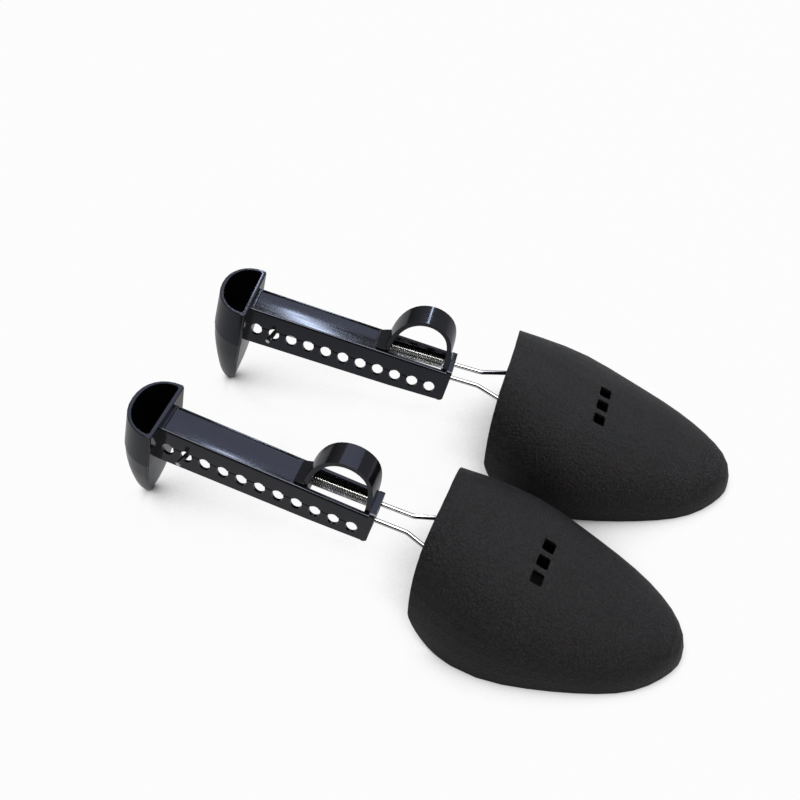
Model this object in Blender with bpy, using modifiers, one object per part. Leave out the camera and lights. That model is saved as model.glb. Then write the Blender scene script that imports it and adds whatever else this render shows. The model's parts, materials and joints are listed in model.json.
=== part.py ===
"""Pair of adjustable shoe trees: perforated handle, sprung wire bow and hollow toe shell.

Each tree has its own frame: X runs from the heel tip to the toe along the floor, Z is up
and the origin is the floor point under the heel tip. The handle frame is pitched nose
down and leans a little sideways in it, and starts at the channel's top, level with the
front face of the heel cup. The wire frame starts at the latched hole and is pitched less
than the handle. The toe shell lies flat on the floor.
"""

import math

import bmesh
import bpy
import numpy as np
from mathutils import Matrix, Vector

MM = 0.001

# where the two trees stand
TREE_YAW = math.radians(2.7)
TREE_STEP_X = 9.0 * MM
TREE_STEP_Y = 70.6 * MM
PAIR_CENTRE_X = 119.02 * MM
PAIR_CENTRE_Y = 32.44 * MM

# handle channel
HANDLE_PITCH = math.radians(12.2)
HANDLE_LEAN = math.radians(-1.8)
HANDLE_X = 17.68 * MM
HANDLE_Y = 1.75 * MM
HANDLE_Z = 53.42 * MM
CHANNEL_START = -1.0 * MM
CHANNEL_END = 91.5 * MM
CHANNEL_HALF = 7.0 * MM
CHANNEL_INNER = 5.95 * MM
CHANNEL_CORNER = 0.9 * MM
TOP_THICK = 1.8 * MM
FREE_WALL_DEPTH = 9.8 * MM
RAIL_STEP = 0.4 * MM
RAIL_LIP = 0.2 * MM
FRONT_CORNER = 2.0 * MM
RAIL_DEPTH_REAR = 20.6 * MM
RAIL_DEPTH_MID = 18.9 * MM
RAIL_MID_X = 67.0 * MM
RAIL_DEPTH_FRONT = 17.6 * MM
DISH_DEPTH = 0.4 * MM
DISH_EDGE = 1.0 * MM

# latch holes
HOLE_COUNT = 11
HOLE_PITCH = 8.0 * MM
HOLE_FIRST_X = 4.0 * MM
HOLE_HALF_WIDE = 2.5 * MM
HOLE_HALF_HIGH = 3.7 * MM
HOLE_Z = -11.5 * MM
LATCHED_HOLE = 2

# pad, window, collar and finger ring on the handle
PAD_START = 56.5 * MM
PAD_END = 61.4 * MM
PAD_HALF = 5.6 * MM
PAD_HEIGHT = 1.1 * MM
WINDOW_START = 62.4 * MM
WINDOW_END = 87.1 * MM
WINDOW_HALF = 5.2 * MM
COLLAR_START = 89.2 * MM
COLLAR_HEIGHT = 1.2 * MM
MOUTH_BAR_TOP = -12.7 * MM
MOUTH_BAR_THICK = 1.8 * MM
RING_HALF = 5.3 * MM
RING_THICK = 2.0 * MM
RING_PROFILE = [(60.2, -1.2), (60.3, 1.0), (61.3, 8.5), (64.4, 17.0), (69.2, 22.3),
                (74.6, 24.3), (80.0, 23.6), (84.9, 20.0), (87.6, 13.8), (88.6, 6.0), (88.8, -1.2)]

# heel cup: height, half width, front and rear of its outer sections
CUP_WALL = 2.0 * MM
CUP_CORNER = 0.9 * MM
CUP_OUTER = [(3.0, 14.6, -0.4, -15.1), (2.6, 15.0, 0.0, -15.5), (-6.0, 15.3, 0.0, -15.8),
             (-16.2, 15.6, 0.0, -16.1), (-16.9, 15.3, -0.2, -15.9), (-24.0, 14.5, -0.5, -15.4),
             (-30.0, 13.2, -0.9, -14.6), (-36.0, 11.5, -1.3, -13.6), (-42.0, 9.4, -1.8, -12.5),
             (-47.0, 7.2, -2.4, -11.5), (-51.0, 5.0, -3.1, -10.4), (-53.7, 3.3, -3.9, -9.3),
             (-55.2, 1.9, -4.7, -8.1), (-55.85, 0.8, -5.5, -7.0)]
CUP_HOLLOW = [(3.3, 13.6, -1.4, -14.1), (2.4, 13.0, -2.0, -13.5), (-16.2, 13.5, -2.0, -14.1),
              (-24.0, 12.4, -2.6, -13.4), (-30.0, 11.0, -3.0, -12.6), (-36.0, 9.3, -3.5, -11.6),
              (-42.0, 7.1, -4.0, -10.4), (-46.0, 5.2, -4.6, -9.4), (-48.5, 2.6, -5.6, -8.2)]

# wires, plates and springs, in the wire frame
WIRE_RADIUS = 1.0 * MM
WIRE_RISE = math.radians(3.1)
FIT_GAP = 0.3 * MM
LATCH_LEG_Y = 3.7 * MM
LATCH_FRONT_X = 78.7 * MM
LATCH_FREE_END_X = 40.0 * MM
LATCH_PIN_OUT = 11.5 * MM
LATCH_PIN_BACK = 1.3 * MM
LATCH_BEND_X = 0.35 * MM
BOW_LEG_Y = 4.05 * MM
BOW_LEG_Z = 2.95 * MM
BOW_REAR_X = 36.5 * MM
BOW_KINK_X = 92.9 * MM
BOW_KINK_Y = 4.1 * MM
BOW_SPREAD_X = 125.0 * MM
BOW_SPREAD_Y = 15.8 * MM
BOW_FRONT_X = 140.0 * MM
PLATE_THICK = 1.2 * MM
PLATE_HALF = 5.6 * MM
PLATE_BOTTOM = -1.9 * MM
PLATE_TOP = 4.4 * MM
PLATE_CORNER = 1.4 * MM
GUIDE_PLATE_X = 49.4 * MM
SPRING_PLATE_X = 76.0 * MM
LEFT_BOW_PUSH = 1.3 * MM
SPRING_TURNS = 15
SPRING_POINTS = 8
SPRING_RADIUS = 1.42 * MM
SPRING_WIRE = 0.4 * MM

# toe shell, in a frame on the floor under the middle of its back edge
SHELL_X = 130.7 * MM
RIGHT_SHELL_Y = 0.8 * MM
LEFT_SHELL_Y = -3.3 * MM
SHELL_TURN = math.radians(-3.0)
SHELL_LENGTH = 103.1 * MM
SHELL_WALL = 2.0 * MM
SHELL_HALF = [30.9, 37.9, 35.0, 28.4, 20.2, 9.1, 0.0]
SHELL_RIDGE = [54.3, 41.8, 30.3, 22.5, 16.2, 12.4, 0.0]
SHELL_POWER = 0.73
SHELL_STATIONS = 16
SHELL_ARC = 20
BACK_SCOOP = 2.9 * MM
BACK_SCOOP_RADIUS = 201.0 * MM
BACK_ROUND = 20.0 * MM
VENT_X = 43.5 * MM
VENT_STEP = 7.6 * MM
VENT_LONG = 4.8 * MM
VENT_WIDE = 5.2 * MM
LUG_MIDDLE_Y = 3.8 * MM
LUG_Y = 8.5 * MM
LUG_THICK = 2.5 * MM
LUG_LONG = 10.8 * MM
LUG_BOTTOM = 15.2 * MM
LUG_NECK = 1.7 * MM
LUG_INTO_ROOF = 0.9 * MM


def clear_scene():
    for item in list(bpy.data.objects):
        bpy.data.objects.remove(item, do_unlink=True)


def new_collection(name):
    group = bpy.data.collections.new(name)
    bpy.context.scene.collection.children.link(group)
    return group


def new_material(name, colour, roughness, metallic):
    material = bpy.data.materials.new(name)
    material.use_nodes = True
    shader = material.node_tree.nodes["Principled BSDF"]
    shader.inputs["Base Color"].default_value = (*colour, 1.0)
    shader.inputs["Roughness"].default_value = roughness
    shader.inputs["Metallic"].default_value = metallic
    material.diffuse_color = (*colour, 1.0)
    return material


def new_frame(name, parent, location=(0, 0, 0), rotation=(0, 0, 0)):
    frame = bpy.data.objects.new(name, None)
    frame.empty_display_size = 10 * MM
    frame.location = location
    frame.rotation_euler = rotation
    frame.parent = parent
    PARTS.objects.link(frame)
    return frame


def new_object(name, mesh, parent, material=None):
    """Link a finished mesh as a visible piece, or as a cutter when it has no material."""
    item = bpy.data.objects.new(name, mesh)
    item.parent = parent
    if material is None:
        CUTTERS.objects.link(item)
        item.hide_render = True
        item.display_type = "WIRE"
    else:
        mesh.materials.clear()
        mesh.materials.append(material)
        PARTS.objects.link(item)
    return item


def clean_mesh(mesh, smooth):
    work = bmesh.new()
    work.from_mesh(mesh)
    bmesh.ops.remove_doubles(work, verts=work.verts, dist=0.001 * MM)
    bmesh.ops.recalc_face_normals(work, faces=work.faces)
    for face in work.faces:
        face.smooth = smooth
    work.to_mesh(mesh)
    work.free()
    return mesh


def curve_mesh(name, curve, smooth):
    holder = bpy.data.objects.new(name, curve)
    PARTS.objects.link(holder)
    bpy.context.view_layer.update()
    graph = bpy.context.evaluated_depsgraph_get()
    mesh = bpy.data.meshes.new_from_object(holder.evaluated_get(graph))
    mesh.name = name
    bpy.data.objects.remove(holder, do_unlink=True)
    bpy.data.curves.remove(curve)
    return clean_mesh(mesh, smooth)


def prism_mesh(name, loops, plane, low, high):
    """Extrude flat closed outlines; the first is the rim and the others are holes in it."""
    curve = bpy.data.curves.new(name, "CURVE")
    curve.dimensions = "2D"
    curve.fill_mode = "BOTH"
    curve.extrude = (high - low) / 2
    for loop in loops:
        spline = curve.splines.new("POLY")
        spline.points.add(len(loop) - 1)
        for point, (u, v) in zip(spline.points, loop):
            point.co = (u, v, 0.0, 1.0)
        spline.use_cyclic_u = True
    mesh = curve_mesh(name, curve, False)
    middle = (high + low) / 2
    if plane == "YZ":
        turn = Matrix(((0, 0, 1, middle), (1, 0, 0, 0), (0, 1, 0, 0), (0, 0, 0, 1)))
    elif plane == "XZ":
        turn = Matrix(((1, 0, 0, 0), (0, 0, -1, middle), (0, 1, 0, 0), (0, 0, 0, 1)))
    else:
        turn = Matrix.Translation((0, 0, middle))
    mesh.transform(turn)
    return mesh


def tube_mesh(name, points, radius, resolution):
    curve = bpy.data.curves.new(name, "CURVE")
    curve.dimensions = "3D"
    curve.bevel_depth = radius
    curve.bevel_resolution = resolution
    curve.use_fill_caps = True
    spline = curve.splines.new("POLY")
    spline.points.add(len(points) - 1)
    for point, place in zip(spline.points, points):
        point.co = (place[0], place[1], place[2], 1.0)
    return curve_mesh(name, curve, True)


def loft_mesh(name, rings, smooth):
    """Skin unlike closed sections and cap both ends."""
    work = bmesh.new()
    rows = [[work.verts.new(point) for point in ring] for ring in rings]
    for upper, lower in zip(rows, rows[1:]):
        for i in range(len(upper)):
            j = (i + 1) % len(upper)
            work.faces.new((upper[i], upper[j], lower[j], lower[i]))
    work.faces.new(rows[0])
    work.faces.new(rows[-1])
    mesh = bpy.data.meshes.new(name)
    work.to_mesh(mesh)
    work.free()
    return clean_mesh(mesh, smooth)


def rounded_path(points, radii, closed=False, steps=4):
    """Replace each inner corner of a path with an arc of the given radius."""
    points = [np.array(point, float) for point in points]
    count = len(points)
    result = []
    for i, corner in enumerate(points):
        ends = i in (0, count - 1) and not closed
        if ends or radii[i] <= 0:
            result.append(corner)
            continue
        before = points[i - 1] - corner
        after = points[(i + 1) % count] - corner
        before = before / np.linalg.norm(before)
        after = after / np.linalg.norm(after)
        half = math.acos(float(np.clip(before @ after, -1, 1))) / 2
        reach = radii[i] / math.tan(half)
        middle = (before + after) / np.linalg.norm(before + after)
        centre = corner + middle * radii[i] / math.sin(half)
        start = corner + before * reach - centre
        stop = corner + after * reach - centre
        sweep = math.acos(float(np.clip(start @ stop / radii[i] ** 2, -1, 1)))
        for k in range(steps + 1):
            t = k / steps
            arm = start * math.sin((1 - t) * sweep) + stop * math.sin(t * sweep)
            result.append(centre + arm / math.sin(sweep))
    return result


def add_boolean(target, other, operation):
    modifier = target.modifiers.new(operation.title(), "BOOLEAN")
    modifier.operation = operation
    modifier.solver = "EXACT"
    modifier.object = other


def add_bevel(target, width, segments, angle):
    modifier = target.modifiers.new("Edges", "BEVEL")
    modifier.width = width
    modifier.segments = segments
    modifier.limit_method = "ANGLE"
    modifier.angle_limit = math.radians(angle)


def smooth_values(values, count):
    """Run a natural cubic through evenly spaced values and sample it at count places."""
    values = np.array(values, float)
    size = len(values)
    system = np.eye(size)
    right = np.zeros(size)
    for i in range(1, size - 1):
        system[i, i - 1:i + 2] = (1, 4, 1)
        right[i] = 6 * (values[i - 1] - 2 * values[i] + values[i + 1])
    bend = np.linalg.solve(system, right)
    result = []
    for t in np.linspace(0, size - 1, count):
        i = min(int(t), size - 2)
        f = t - i
        curve = (bend[i] * ((1 - f) ** 3 - (1 - f)) + bend[i + 1] * (f ** 3 - f)) / 6
        result.append(values[i] * (1 - f) + values[i + 1] * f + curve)
    return np.array(result)


def rail_depth(x):
    places = [CHANNEL_START, RAIL_MID_X, CHANNEL_END]
    return float(np.interp(x, places, [RAIL_DEPTH_REAR, RAIL_DEPTH_MID, RAIL_DEPTH_FRONT]))


def hole_x(number):
    return HOLE_FIRST_X + HOLE_PITCH * (number - 1)


def channel_mesh(name):
    outer, inner = CHANNEL_HALF, CHANNEL_INNER
    rail_outer, rail_inner = outer - RAIL_LIP, inner - RAIL_STEP
    step = FREE_WALL_DEPTH
    corners = [(-rail_outer, -RAIL_DEPTH_REAR), (-rail_outer, -step - RAIL_LIP), (-outer, -step),
               (-outer, 0), (outer, 0), (outer, -step), (inner, -step), (inner, -TOP_THICK),
               (-inner, -TOP_THICK), (-inner, -step), (-rail_inner, -step - RAIL_STEP),
               (-rail_inner, -RAIL_DEPTH_REAR)]
    radii = [0, 0, 0, CHANNEL_CORNER, CHANNEL_CORNER, 0.3 * MM, 0.3 * MM, 0, 0, 0, 0, 0]
    section = rounded_path(corners, radii, closed=True, steps=3)
    return prism_mesh(name, [section], "YZ", CHANNEL_START, CHANNEL_END)


def mouth_mesh(name):
    """Closed frame round the mouth, with the collar on top and the bar that carries the wires."""
    top, low = COLLAR_HEIGHT, MOUTH_BAR_TOP - MOUTH_BAR_THICK
    inner = CHANNEL_INNER
    rim = [(-CHANNEL_HALF, -RAIL_DEPTH_FRONT), (-CHANNEL_HALF, top), (CHANNEL_HALF, top),
           (CHANNEL_HALF, low), (-inner + RAIL_STEP, low), (-inner + RAIL_STEP, -RAIL_DEPTH_FRONT)]
    radii = [0, CHANNEL_CORNER, CHANNEL_CORNER, 0.8 * MM, 0, 0]
    opening = [(-inner, MOUTH_BAR_TOP), (-inner, -TOP_THICK), (inner, -TOP_THICK), (inner, MOUTH_BAR_TOP)]
    loops = [rounded_path(rim, radii, closed=True, steps=3), opening]
    return prism_mesh(name, loops, "YZ", COLLAR_START, CHANNEL_END)


def cup_ring(height, half, front, rear):
    """D-shaped plan section: flat in front with small chamfers, rounded behind."""
    height, half, front, rear = (value * MM for value in (height, half, front, rear))
    corner = min(CUP_CORNER, 0.35 * half)
    side = front - corner
    ring = [(front, half - corner, height)]
    for k in range(17):
        angle = math.pi * k / 16
        across = math.copysign(abs(math.cos(angle)) ** 0.92, math.cos(angle))
        ring.append((side - (side - rear) * math.sin(angle) ** 0.92, half * across, height))
    ring.append((front, corner - half, height))
    return ring


def ring_band_mesh(name):
    outer = smooth_values([point[0] for point in RING_PROFILE], 31) * MM
    upper = smooth_values([point[1] for point in RING_PROFILE], 31) * MM
    path = np.stack([outer, upper], axis=1)
    slope = np.gradient(path, axis=0)
    slope /= np.linalg.norm(slope, axis=1)[:, None]
    inward = np.stack([slope[:, 1], -slope[:, 0]], axis=1)
    inside = path + inward * RING_THICK
    outline = [tuple(point) for point in path] + [tuple(point) for point in inside[::-1]]
    return prism_mesh(name, [outline], "XZ", -RING_HALF, RING_HALF)


def block_mesh(name, low, high, corner=0.0):
    """Upright block with its four upright edges rounded."""
    plan = [(low[0], low[1]), (high[0], low[1]), (high[0], high[1]), (low[0], high[1])]
    outline = rounded_path(plan, [corner] * 4, closed=True, steps=4)
    return prism_mesh(name, [outline], "XY", low[2], high[2])


def build_handle(side, frame):
    handle = new_object(side + "_handle", channel_mesh(side + "_handle"), frame, HANDLE_BLACK)

    mouth = new_object(side + "_mouth_block", mouth_mesh("mouth_block"), frame)
    pad = new_object(side + "_pad_block",
                     block_mesh("pad_block", (PAD_START, -PAD_HALF, -MM),
                                (PAD_END, PAD_HALF, PAD_HEIGHT), 0.6 * MM), frame)
    add_bevel(pad, 0.4 * MM, 2, 60)
    ring = new_object(side + "_ring_block", ring_band_mesh("ring_block"), frame)
    add_bevel(ring, 0.5 * MM, 2, 60)
    cup = new_object(side + "_cup_block",
                     loft_mesh("cup_block", [cup_ring(*row) for row in CUP_OUTER], False), frame)
    for shape in (mouth, pad, ring, cup):
        add_boolean(handle, shape, "UNION")

    below = -30 * MM
    rear, front = CUP_WALL / 2, CHANNEL_END - FRONT_CORNER
    low = -RAIL_DEPTH_FRONT
    taper = [(rear, below), (rear, -rail_depth(rear)), (RAIL_MID_X, -RAIL_DEPTH_MID)]
    for k in range(4):
        angle = math.radians(22.5 * k)
        taper.append((front + FRONT_CORNER * math.sin(angle), low + FRONT_CORNER * (1 - math.cos(angle))))
    out = CHANNEL_END + MM - taper[-1][0]
    taper += [(CHANNEL_END + MM, taper[-1][1] + out * math.tan(angle)), (CHANNEL_END + MM, below)]
    rail_taper = new_object(side + "_taper_cut",
                            prism_mesh("taper_cut", [taper], "XZ", -9 * MM, 9 * MM), frame)
    window = new_object(side + "_window_cut",
                        block_mesh("window_cut", (WINDOW_START, -WINDOW_HALF, -3 * MM),
                                   (WINDOW_END, WINDOW_HALF, 0.2 * MM), 0.8 * MM), frame)
    edge = DISH_EDGE
    dish = new_object(side + "_dish_cut",
                      block_mesh("dish_cut", (edge, edge - CHANNEL_HALF, -DISH_DEPTH),
                                 (PAD_START - edge, CHANNEL_HALF - edge, MM), 0.8 * MM), frame)
    hollow = new_object(side + "_cup_hollow_cut",
                        loft_mesh("cup_hollow_cut", [cup_ring(*row) for row in CUP_HOLLOW], False), frame)
    for number in range(1, HOLE_COUNT + 1):
        rim = [(hole_x(number) + HOLE_HALF_WIDE * math.cos(a), HOLE_Z + HOLE_HALF_HIGH * math.sin(a))
               for a in np.linspace(0, 2 * math.pi, 16, endpoint=False)]
        if number == 1:
            drill = prism_mesh("hole_cut", [rim], "XZ", -9 * MM, -4 * MM)
            work = bmesh.new()
            work.from_mesh(drill)
        else:
            work.from_mesh(prism_mesh("hole_cut", [rim], "XZ", -9 * MM, -4 * MM))
    work.to_mesh(drill)
    work.free()
    holes = new_object(side + "_holes_cut", drill, frame)
    for cutter in (rail_taper, window, dish, hollow, holes):
        add_boolean(handle, cutter, "DIFFERENCE")
    return handle


def shell_sections(inset, skirt):
    """Arched sections of the toe shell from back to nose, as rows of points."""
    halves = smooth_values(SHELL_HALF, SHELL_STATIONS) * MM
    ridges = smooth_values(SHELL_RIDGE, SHELL_STATIONS) * MM
    rows = []
    for k in range(SHELL_STATIONS):
        angle = math.pi / 2 * k / (SHELL_STATIONS - 1)
        x = (SHELL_LENGTH - inset) * math.sin(angle)
        half = max(halves[k] - inset, 0.0)
        ridge = max(ridges[k] - inset, 0.0)
        row = [(x, -half, -skirt)]
        for j in range(SHELL_ARC + 1):
            turn = math.pi * j / SHELL_ARC
            across = math.copysign(abs(math.cos(turn)) ** SHELL_POWER, math.cos(turn))
            row.append((x, -half * across, ridge * math.sin(turn) ** SHELL_POWER))
        row.append((x, half, -skirt))
        rows.append(row)
    return rows


def shell_surface_mesh(name):
    """Open outer surface, run on past the back edge and below the floor to be trimmed."""
    rows = shell_sections(0.0, 4 * MM)
    behind = [(-4 * MM, a[1] + (a[1] - b[1]) * 4 * MM / (b[0] - a[0]),
               a[2] + (a[2] - b[2]) * 4 * MM / (b[0] - a[0])) for a, b in zip(rows[0], rows[1])]
    rows.insert(0, behind)
    work = bmesh.new()
    grid = [[work.verts.new(point) for point in row] for row in rows]
    for near, far in zip(grid, grid[1:]):
        for i in range(len(near) - 1):
            work.faces.new((near[i], near[i + 1], far[i + 1], far[i]))
    bmesh.ops.remove_doubles(work, verts=work.verts, dist=0.01 * MM)
    bmesh.ops.recalc_face_normals(work, faces=work.faces)
    top = max(work.faces, key=lambda face: face.calc_center_median().z)
    if top.normal.z < 0:
        bmesh.ops.reverse_faces(work, faces=work.faces)
    for face in work.faces:
        face.smooth = True
    mesh = bpy.data.meshes.new(name)
    work.to_mesh(mesh)
    work.free()
    return mesh


def back_cut_mesh(name):
    """Block behind the shell with a bulging front face, which leaves the back edge scooped."""
    radius = BACK_SCOOP_RADIUS
    reach = math.asin(60 * MM / radius)
    arc = [(BACK_SCOOP - radius + radius * math.cos(a), radius * math.sin(a))
           for a in np.linspace(-reach, reach, 14)]
    outline = [(-14 * MM, -60 * MM)] + arc + [(-14 * MM, 60 * MM)]
    return prism_mesh(name, [outline], "XY", -15 * MM, 80 * MM)


def build_lug(side, number, y, bar, frame, core):
    """Web under the roof; its foot is chamfered on both sides of the snap slot."""
    low_x, high_x = bar.x - LUG_LONG / 2, bar.x + LUG_LONG / 2
    foot = 3.2 * MM
    plate = [(low_x, 60 * MM), (low_x, LUG_BOTTOM + 3 * MM), (bar.x - foot, LUG_BOTTOM),
             (bar.x + foot, LUG_BOTTOM), (high_x, LUG_BOTTOM + 3 * MM), (high_x, 60 * MM)]
    plate = rounded_path(plate, [0, MM, MM, MM, MM, 0], closed=True, steps=3)
    lug = new_object(side + "_lug_%d_block" % number,
                     prism_mesh("lug_block", [plate], "XZ", y - LUG_THICK / 2, y + LUG_THICK / 2), frame)
    add_boolean(lug, core, "INTERSECT")
    return lug


def snap_slot_mesh(name, drop):
    """Bore for the cross piece, open below through a neck narrower than the wire."""
    radius = WIRE_RADIUS + FIT_GAP
    neck = LUG_NECK / 2
    start = math.atan2(-math.sqrt(radius ** 2 - neck ** 2), neck)
    sweep = 2 * math.pi - 2 * math.asin(neck / radius)
    bore = [(radius * math.cos(a), radius * math.sin(a)) for a in np.linspace(start, start + sweep, 20)]
    bore += [(-neck, MM - drop), (-neck - MM, -2 * MM - drop), (neck + MM, -2 * MM - drop), (neck, MM - drop)]
    width = LUG_Y + LUG_THICK + 3 * MM
    return prism_mesh(name, [bore], "XZ", -width, width)


def build_toe_shell(side, tree, hinge, push, shell_y):
    """The shell is laid out level from its back edge; the hinge frame lies on the bow's cross piece."""
    level = Matrix.Translation((SHELL_X - push, shell_y, 0)) @ Matrix.Rotation(SHELL_TURN, 4, "Z")
    hinge_place = tree.matrix_world.inverted() @ hinge.matrix_world
    place = hinge_place.inverted() @ level
    frame = new_frame(side + "_shell_frame", hinge, place.translation, place.to_euler())
    bar = level.inverted() @ hinge_place.translation
    shell = new_object(side + "_toe_shell", shell_surface_mesh(side + "_toe_shell"), frame, TOE_BLACK)
    wall = shell.modifiers.new("Wall", "SOLIDIFY")
    wall.thickness = SHELL_WALL
    wall.offset = -1.0
    wall.use_even_offset = True

    inside = shell_sections(SHELL_WALL - LUG_INTO_ROOF, 2 * MM)
    core = new_object(side + "_core_block", loft_mesh("core_block", inside[:-1], False), frame)
    for number, y in ((1, LUG_MIDDLE_Y - LUG_Y), (2, LUG_MIDDLE_Y + LUG_Y)):
        add_boolean(shell, build_lug(side, number, y, bar, frame, core), "UNION")

    far = 200 * MM
    floor = new_object(side + "_floor_cut",
                       block_mesh("floor_cut", (-9 * MM, -50 * MM, -12 * MM), (far, 50 * MM, 0)), frame)
    back = new_object(side + "_back_cut", back_cut_mesh("back_cut"), frame)
    radius = BACK_ROUND
    arc = [(radius - radius * math.sin(a), radius - radius * math.cos(a))
           for a in np.linspace(0, math.pi / 2, 10)]
    arc += [(-6 * MM, radius), (-6 * MM, -6 * MM), (radius, -6 * MM)]
    corner = new_object(side + "_corner_cut",
                        prism_mesh("corner_cut", [arc], "XZ", -55 * MM, 55 * MM), frame)
    vents = new_object(side + "_vents_cut", vent_mesh("vents_cut"), frame)
    slots = new_object(side + "_snap_slot_cut",
                       snap_slot_mesh("snap_slot_cut", bar.z - LUG_BOTTOM), hinge)
    for cutter in (floor, back, corner, vents, slots):
        add_boolean(shell, cutter, "DIFFERENCE")
    return shell


def vent_mesh(name):
    work = bmesh.new()
    for step in (-1, 0, 1):
        low = (VENT_X - VENT_LONG / 2, step * VENT_STEP - VENT_WIDE / 2, 28 * MM)
        high = (VENT_X + VENT_LONG / 2, step * VENT_STEP + VENT_WIDE / 2, 45 * MM)
        work.from_mesh(block_mesh(name, low, high, 0.7 * MM))
    mesh = bpy.data.meshes.new(name)
    work.to_mesh(mesh)
    work.free()
    return mesh


def build_toe_bow(side, frame):
    y, z = BOW_LEG_Y, BOW_LEG_Z
    half = [(BOW_REAR_X, y), (LATCH_FRONT_X, y), (BOW_KINK_X, BOW_KINK_Y),
            (BOW_SPREAD_X, BOW_SPREAD_Y), (BOW_FRONT_X, BOW_SPREAD_Y)]
    places = [(a, -b, z) for a, b in half] + [(a, b, z) for a, b in reversed(half)]
    radii = [0, 8 * MM, 5 * MM, 5 * MM, 2.5 * MM, 2.5 * MM, 5 * MM, 5 * MM, 8 * MM, 0]
    path = rounded_path(places, radii, steps=3)
    return new_object(side + "_toe_bow", tube_mesh(side + "_toe_bow", path, WIRE_RADIUS, 4), frame, WIRE)


def build_latch_wire(side, frame):
    y = LATCH_LEG_Y
    places = [(-LATCH_PIN_BACK, -LATCH_PIN_OUT, 0), (LATCH_BEND_X, -y, 0), (LATCH_FRONT_X, -y, 0),
              (LATCH_FRONT_X, y, 0), (LATCH_FREE_END_X, y, 0)]
    radii = [0, 2.2 * MM, 2.2 * MM, 2.2 * MM, 0]
    path = rounded_path(places, radii, steps=5)
    return new_object(side + "_latch_wire", tube_mesh(side + "_latch_wire", path, WIRE_RADIUS, 4), frame, WIRE)


def build_plate(side, name, x, frame):
    """Thin cross plate with four holes: two for the latch wire and two for the bow."""
    rim = [(-PLATE_HALF, PLATE_BOTTOM), (PLATE_HALF, PLATE_BOTTOM), (PLATE_HALF, PLATE_TOP),
           (-PLATE_HALF, PLATE_TOP)]
    loops = [rounded_path(rim, [PLATE_CORNER] * 4, closed=True, steps=4)]
    for y, z in ((LATCH_LEG_Y, 0.0), (BOW_LEG_Y, BOW_LEG_Z)):
        for way in (-1, 1):
            radius = WIRE_RADIUS + FIT_GAP
            loops.append([(way * y + radius * math.cos(a), z + radius * math.sin(a))
                          for a in np.linspace(0, 2 * math.pi, 14, endpoint=False)])
    mesh = prism_mesh(side + name, loops, "YZ", x, x + PLATE_THICK)
    return new_object(side + name, mesh, frame, STEEL)


def spring_path(y, push):
    """Helix between the two plates, with a short straight tail along its axis at each end."""
    start = GUIDE_PLATE_X + PLATE_THICK + FIT_GAP
    stop = SPRING_PLATE_X - push - FIT_GAP
    tail = 2 * SPRING_WIRE
    count = SPRING_TURNS * SPRING_POINTS
    points = [(start, y + SPRING_RADIUS, BOW_LEG_Z), (start + SPRING_WIRE, y + SPRING_RADIUS, BOW_LEG_Z)]
    for k in range(count + 1):
        angle = 2 * math.pi * k / SPRING_POINTS
        x = start + tail + (stop - start - 2 * tail) * k / count
        points.append((x, y + SPRING_RADIUS * math.cos(angle), BOW_LEG_Z + SPRING_RADIUS * math.sin(angle)))
    points += [(stop - SPRING_WIRE, y + SPRING_RADIUS, BOW_LEG_Z), (stop, y + SPRING_RADIUS, BOW_LEG_Z)]
    return points


def spring_self_gap(points):
    """Least clear distance between neighbouring curls, on points set along the wire."""
    dense = []
    for a, b in zip(points, points[1:]):
        for t in np.linspace(0, 1, 4, endpoint=False):
            dense.append(np.array(a) * (1 - t) + np.array(b) * t)
    dense = np.array(dense)
    along = np.concatenate([[0], np.cumsum(np.linalg.norm(np.diff(dense, axis=0), axis=1))])
    least = 1.0
    for i in range(0, len(dense), 2):
        away = np.abs(along - along[i]) > math.pi * SPRING_RADIUS
        if away.any():
            least = min(least, float(np.linalg.norm(dense[away] - dense[i], axis=1).min()))
    return least - SPRING_WIRE


def build_spring(side, number, y, push, frame):
    points = spring_path(y, push)
    if number == 1:
        print(side + " spring self gap mm %.3f" % (spring_self_gap(points) / MM))
    name = "%s_spring_%d" % (side, number)
    return new_object(name, tube_mesh(name, points, SPRING_WIRE / 2, 1), frame, SPRING_STEEL)


def build_tree(side, x, y, yaw, push, shell_y):
    tree = new_frame(side + "_tree", None, (x, y, 0), (0, 0, yaw))
    handle_frame = new_frame(side + "_handle_frame", tree, (HANDLE_X, HANDLE_Y, HANDLE_Z),
                             (HANDLE_LEAN, HANDLE_PITCH, 0))
    slide = new_frame(side + "_length_slide", handle_frame, (hole_x(LATCHED_HOLE), 0, HOLE_Z),
                      (0, -WIRE_RISE, 0))
    travel = new_frame(side + "_spring_slide", slide, (-push, 0, 0))
    hinge = new_frame(side + "_toe_hinge", travel, (BOW_FRONT_X, 0, BOW_LEG_Z),
                      (0, WIRE_RISE - HANDLE_PITCH, 0))
    bpy.context.view_layer.update()

    build_handle(side, handle_frame)
    build_latch_wire(side, slide)
    build_plate(side, "_guide_plate", GUIDE_PLATE_X, slide)
    build_spring(side, 1, -BOW_LEG_Y, push, slide)
    build_spring(side, 2, BOW_LEG_Y, push, slide)
    build_toe_bow(side, travel)
    build_plate(side, "_spring_plate", SPRING_PLATE_X, travel)
    build_toe_shell(side, tree, hinge, push, shell_y)
    bpy.context.view_layer.update()
    for frame in (handle_frame, slide, hinge):
        place = frame.matrix_world.translation
        ahead = frame.matrix_world.to_3x3() @ Vector((1, 0, 0))
        across = frame.matrix_world.to_3x3() @ Vector((0, 1, 0))
        print(frame.name, "pos", [round(v, 6) for v in place], "x", [round(v, 6) for v in ahead],
              "y", [round(v, 6) for v in across])


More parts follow.
